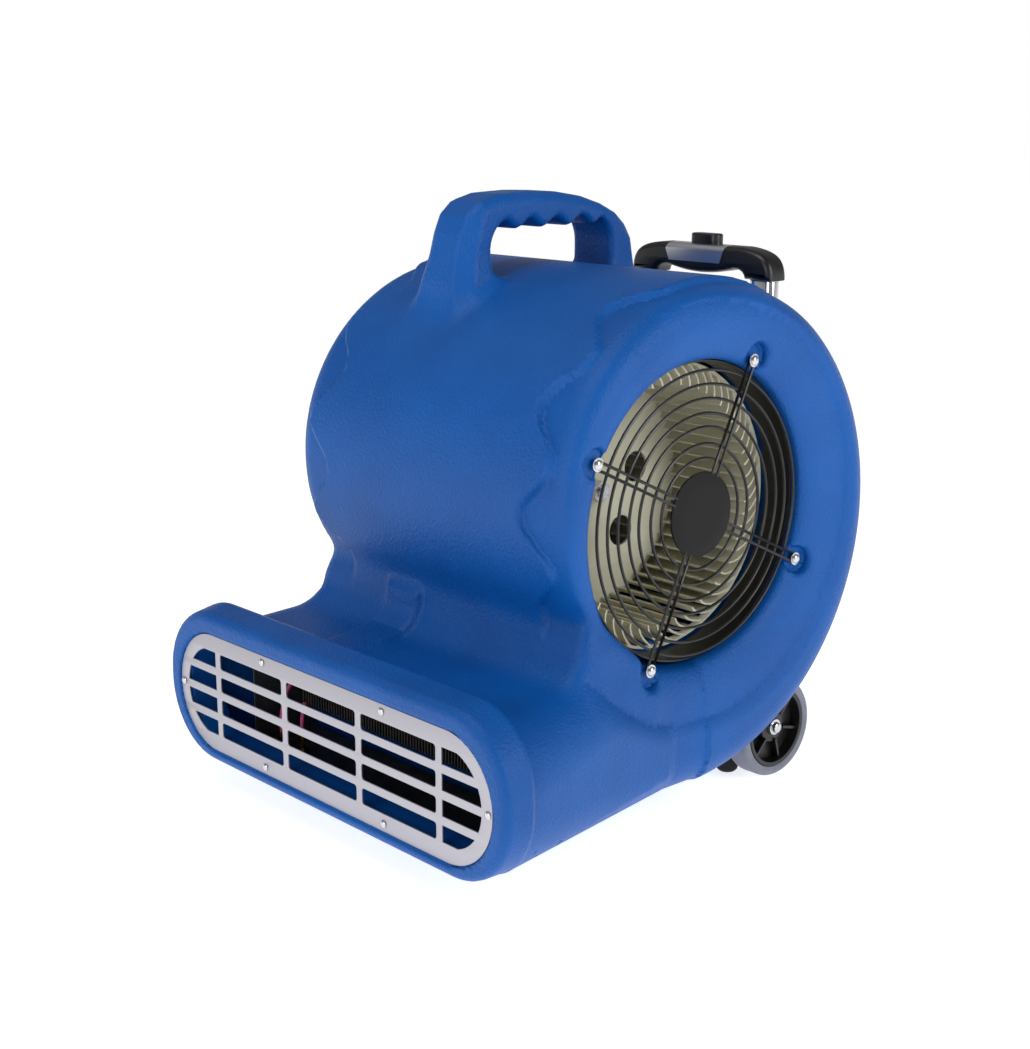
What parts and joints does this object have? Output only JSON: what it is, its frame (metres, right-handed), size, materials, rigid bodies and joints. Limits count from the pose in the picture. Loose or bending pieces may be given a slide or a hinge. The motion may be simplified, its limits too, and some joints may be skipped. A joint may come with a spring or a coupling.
{
  "type": "centrifugal floor dryer",
  "caption": "Snail-housing centrifugal carpet dryer with a low wide heated outlet, guarded side inlets, carry handle, rear wheels and telescopic trolley handle.",
  "frame": {"origin": "on the floor under the middle of the machine's bounding box", "axes": "-Z down to the floor, -Y out of the outlet, +X to the side whose inlet the picture shows"},
  "size_m": [0.514, 0.5382, 0.5825],
  "materials": {
    "housing_plastic": "fine pebble texture, satin",
    "steel_plate": "brushed",
    "zinc": "bright zinc",
    "coated_wire": "satin coating",
    "black_plastic": "satin",
    "fan_plastic": "satin",
    "cast_alloy": "as cast",
    "heater_fins": "heat darkened",
    "brass": "bright",
    "silicone": "smooth sleeve",
    "red_plastic": "gloss",
    "tyre_rubber": "grey-violet, satin",
    "foot_rubber": "matt",
    "chrome_tube": "mirror bright"
  },
  "bodies": {
    "frame": {"housing": "housing_plastic", "outlet_grille": "steel_plate", "motor_bracket": "steel_plate", "heater_rail": "steel_plate", "outlet_screw_1": "zinc", "outlet_screw_2": "zinc", "outlet_screw_3": "zinc", "outlet_screw_4": "zinc", "outlet_screw_5": "zinc", "outlet_screw_6": "zinc", "guard_screw_right_1": "zinc", "guard_screw_right_2": "zinc", "guard_screw_right_3": "zinc", "guard_screw_right_4": "zinc", "guard_screw_left_1": "zinc", "guard_screw_left_2": "zinc", "guard_screw_left_3": "zinc", "guard_screw_left_4": "zinc", "axle": "zinc", "hub_bolt_right": "zinc", "hub_bolt_left": "zinc", "inlet_guard_right": "coated_wire", "inlet_guard_left": "coated_wire", "inlet_collar_right": "black_plastic", "inlet_collar_left": "black_plastic", "motor_capacitor": "black_plastic", "control_panel": "black_plastic", "cable_gland": "black_plastic", "trolley_clamp_lower": "black_plastic", "trolley_clamp_upper": "black_plastic", "motor_body": "cast_alloy", "motor_end_cover": "cast_alloy", "heater_tray": "cast_alloy", "heater_core": "heater_fins", "heater_terminal_1": "brass", "heater_terminal_2": "brass", "heater_lead_1": "silicone", "heater_lead_2": "silicone", "rear_foot_right": "foot_rubber", "rear_foot_left": "foot_rubber", "front_foot_right": "foot_rubber", "front_foot_left": "foot_rubber", "trolley_sleeve_right": "chrome_tube", "trolley_sleeve_left": "chrome_tube"},
    "fan": {"impeller": "fan_plastic", "motor_shaft": "zinc", "hub_nut": "zinc"},
    "wheel_right": {"wheel_rim_right": "black_plastic", "tyre_right": "tyre_rubber"},
    "wheel_left": {"wheel_rim_left": "black_plastic", "tyre_left": "tyre_rubber"},
    "trolley": {"trolley_tube_right": "chrome_tube", "trolley_tube_left": "chrome_tube", "trolley_grip": "black_plastic", "grip_trim": "steel_plate"},
    "button": {"release_button": "black_plastic"},
    "pin_right": {"lock_pin_right": "zinc"},
    "pin_left": {"lock_pin_left": "zinc"},
    "knob": {"speed_knob": "black_plastic"},
    "rocker": {"heater_rocker": "red_plastic"}
  },
  "joints": [
    {"name": "fan_spin", "type": "hinge", "parent": "frame", "child": "fan", "pos_m": [0, 0.02887, 0.299], "axis": [1, 0, 0], "continuous": true},
    {"name": "wheel_right_spin", "type": "hinge", "parent": "frame", "child": "wheel_right", "pos_m": [0.158, 0.17337, 0.0508], "axis": [1, 0, 0], "continuous": true},
    {"name": "wheel_left_spin", "type": "hinge", "parent": "frame", "child": "wheel_left", "pos_m": [-0.158, 0.17337, 0.0508], "axis": [1, 0, 0], "continuous": true},
    {"name": "trolley_slide", "type": "slide", "parent": "frame", "child": "trolley", "axis": [0, 0, 1], "range_m": [0, 0.3]},
    {"name": "button_press", "type": "slide", "parent": "trolley", "child": "button", "axis": [0, 0, -1], "range_m": [0, 0.005], "stiffness_N_per_m": 1500},
    {"name": "lock_pin_right_slide", "type": "slide", "parent": "trolley", "child": "pin_right", "axis": [0, 1, 0], "range_m": [0, 0.0025]},
    {"name": "lock_pin_left_slide", "type": "slide", "parent": "trolley", "child": "pin_left", "axis": [0, 1, 0], "range_m": [0, 0.0025]},
    {"name": "speed_knob_turn", "type": "hinge", "parent": "frame", "child": "knob", "pos_m": [-0.156, 0.25987, 0.305], "axis": [0, 1, 0], "range_deg": [0, 135]},
    {"name": "heater_rocker_tilt", "type": "hinge", "parent": "frame", "child": "rocker", "pos_m": [-0.156, 0.25587, 0.338], "axis": [1, 0, 0], "range_deg": [0, 10]}
  ],
  "couplings": [
    {"joint": "lock_pin_right_slide", "follows": "button_press", "ratio": 0.5},
    {"joint": "lock_pin_left_slide", "follows": "button_press", "ratio": 0.5}
  ]
}
